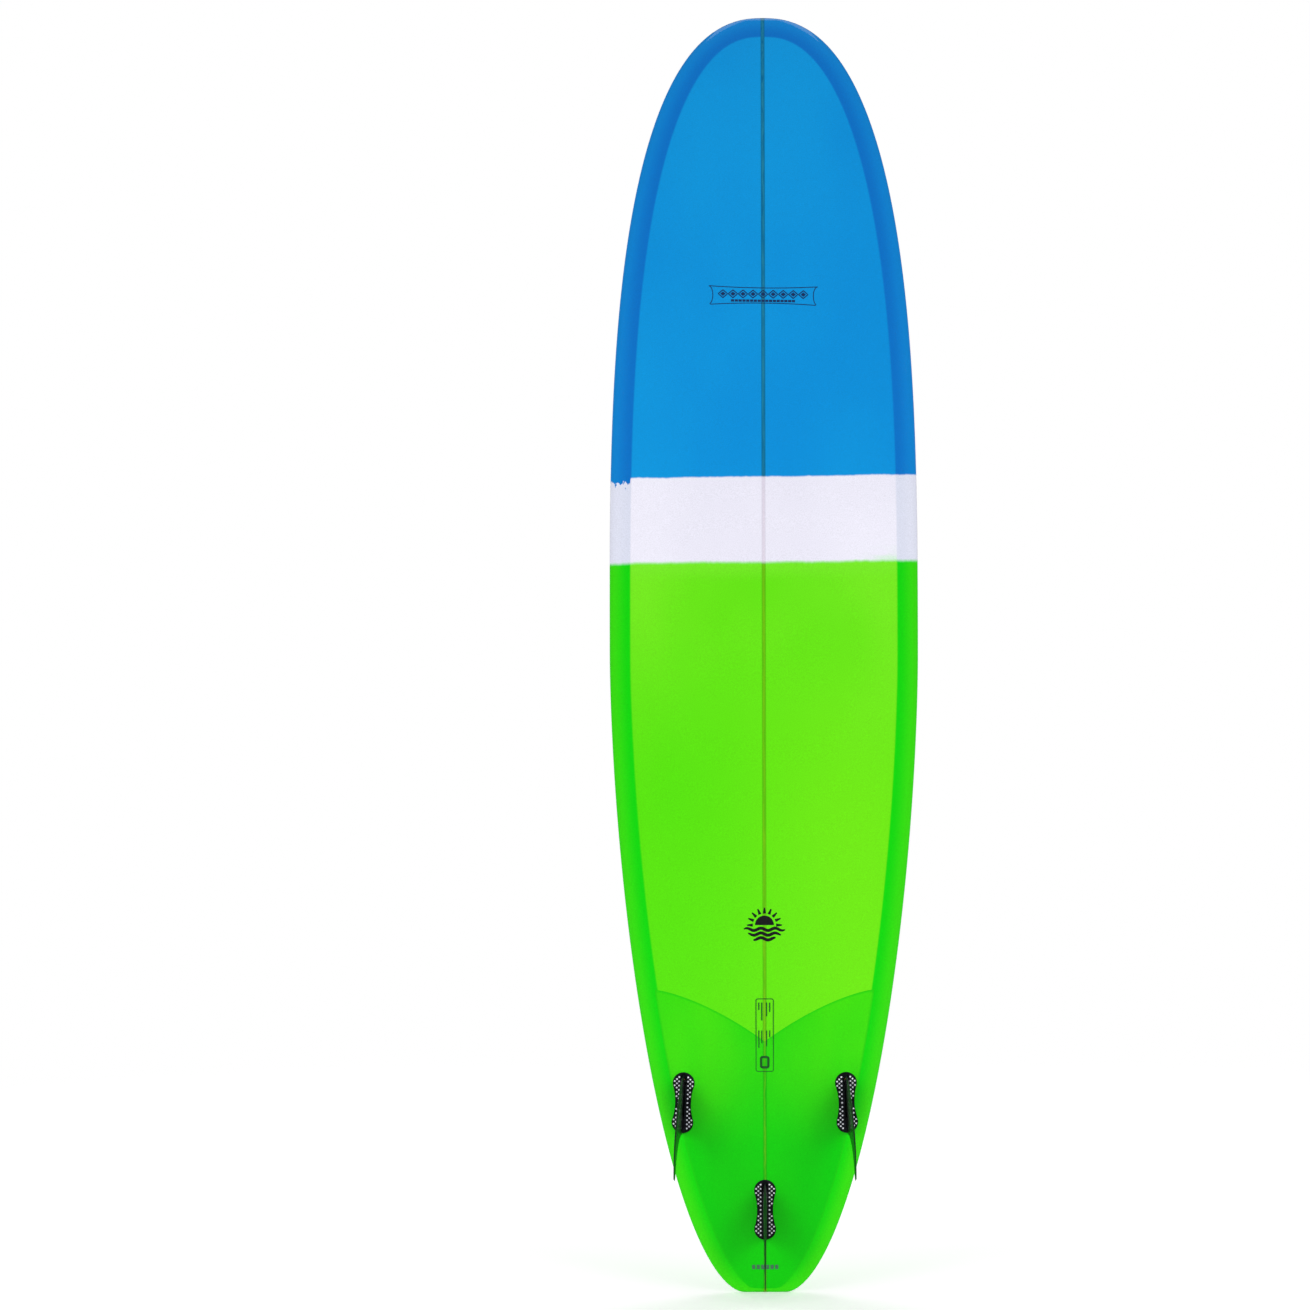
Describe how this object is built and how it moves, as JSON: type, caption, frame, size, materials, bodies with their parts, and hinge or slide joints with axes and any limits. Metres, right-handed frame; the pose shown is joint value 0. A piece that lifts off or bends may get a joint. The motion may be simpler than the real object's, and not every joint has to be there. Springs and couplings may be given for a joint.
{
  "type": "surfboard",
  "caption": "Mid-length surfboard in tinted resin: foam core, wooden stringer, glass skins, click-in fin plugs, swept fins that hinge out, and a recessed leash plug.",
  "frame": {"origin": "centre of the flat tail end, where the upright board stands", "axes": "+Z along the stringer from tail to nose, -Y out of the deck, +Y out of the bottom where the fins are, +X to the rider's right when facing the nose on the deck"},
  "size_m": [0.584, 0.1992, 2.438],
  "materials": {
    "foam": "matte",
    "stringer_wood": "satin",
    "deck_resin": "gloss",
    "bottom_resin": "gloss",
    "patch_resin": "gloss",
    "plug_plastic": "satin",
    "barrel_metal": "satin",
    "spring_rubber": "matte",
    "fin_composite": "satin",
    "leash_plastic": "satin",
    "leash_metal": "satin",
    "label_print": "gloss",
    "emblem_print": "gloss"
  },
  "bodies": {
    "board": {"foam_left": "foam", "foam_right": "foam", "stringer": "stringer_wood", "deck_laminate": "deck_resin", "bottom_laminate": "bottom_resin", "tail_patch": "patch_resin", "left_fin_plug": "plug_plastic", "right_fin_plug": "plug_plastic", "center_fin_plug": "plug_plastic", "left_spring": "spring_rubber", "right_spring": "spring_rubber", "center_spring": "spring_rubber", "leash_plug": "leash_plastic", "leash_pin": "leash_metal", "deck_ribbon": "label_print", "bottom_ribbon": "label_print", "bottom_emblem": "emblem_print", "spec_panel": "label_print"},
    "left_fin_body": {"left_fin": "fin_composite"},
    "right_fin_body": {"right_fin": "fin_composite"},
    "center_fin_body": {"center_fin": "fin_composite"},
    "left_barrel_body": {"left_barrel": "barrel_metal"},
    "right_barrel_body": {"right_barrel": "barrel_metal"},
    "center_barrel_body": {"center_barrel": "barrel_metal"}
  },
  "joints": [
    {"name": "left_fin_release", "type": "hinge", "parent": "board", "child": "left_fin_body", "pos_m": [-0.15299, 0.04301, 0.40848], "axis": [0.9959, 0.0812, -0.04], "range_deg": [0, 12]},
    {"name": "right_fin_release", "type": "hinge", "parent": "board", "child": "right_fin_body", "pos_m": [0.15299, 0.04301, 0.40848], "axis": [0.9959, -0.0812, 0.04], "range_deg": [0, 12]},
    {"name": "center_fin_release", "type": "hinge", "parent": "board", "child": "center_fin_body", "pos_m": [0, 0.02817, 0.20265], "axis": [1, 0, 0], "range_deg": [0, 12]},
    {"name": "left_barrel_slide", "type": "slide", "parent": "board", "child": "left_barrel_body", "axis": [0.0333, 0.0824, 0.996], "range_m": [0, 0.0015], "stiffness_N_per_m": 300, "springref_m": -0.002, "deforming": ["left_spring"]},
    {"name": "right_barrel_slide", "type": "slide", "parent": "board", "child": "right_barrel_body", "axis": [-0.0333, 0.0824, 0.996], "range_m": [0, 0.0015], "stiffness_N_per_m": 300, "springref_m": -0.002, "deforming": ["right_spring"]},
    {"name": "center_barrel_slide", "type": "slide", "parent": "board", "child": "center_barrel_body", "axis": [0, 0.1133, 0.9936], "range_m": [0, 0.0015], "stiffness_N_per_m": 300, "springref_m": -0.002, "deforming": ["center_spring"]}
  ]
}
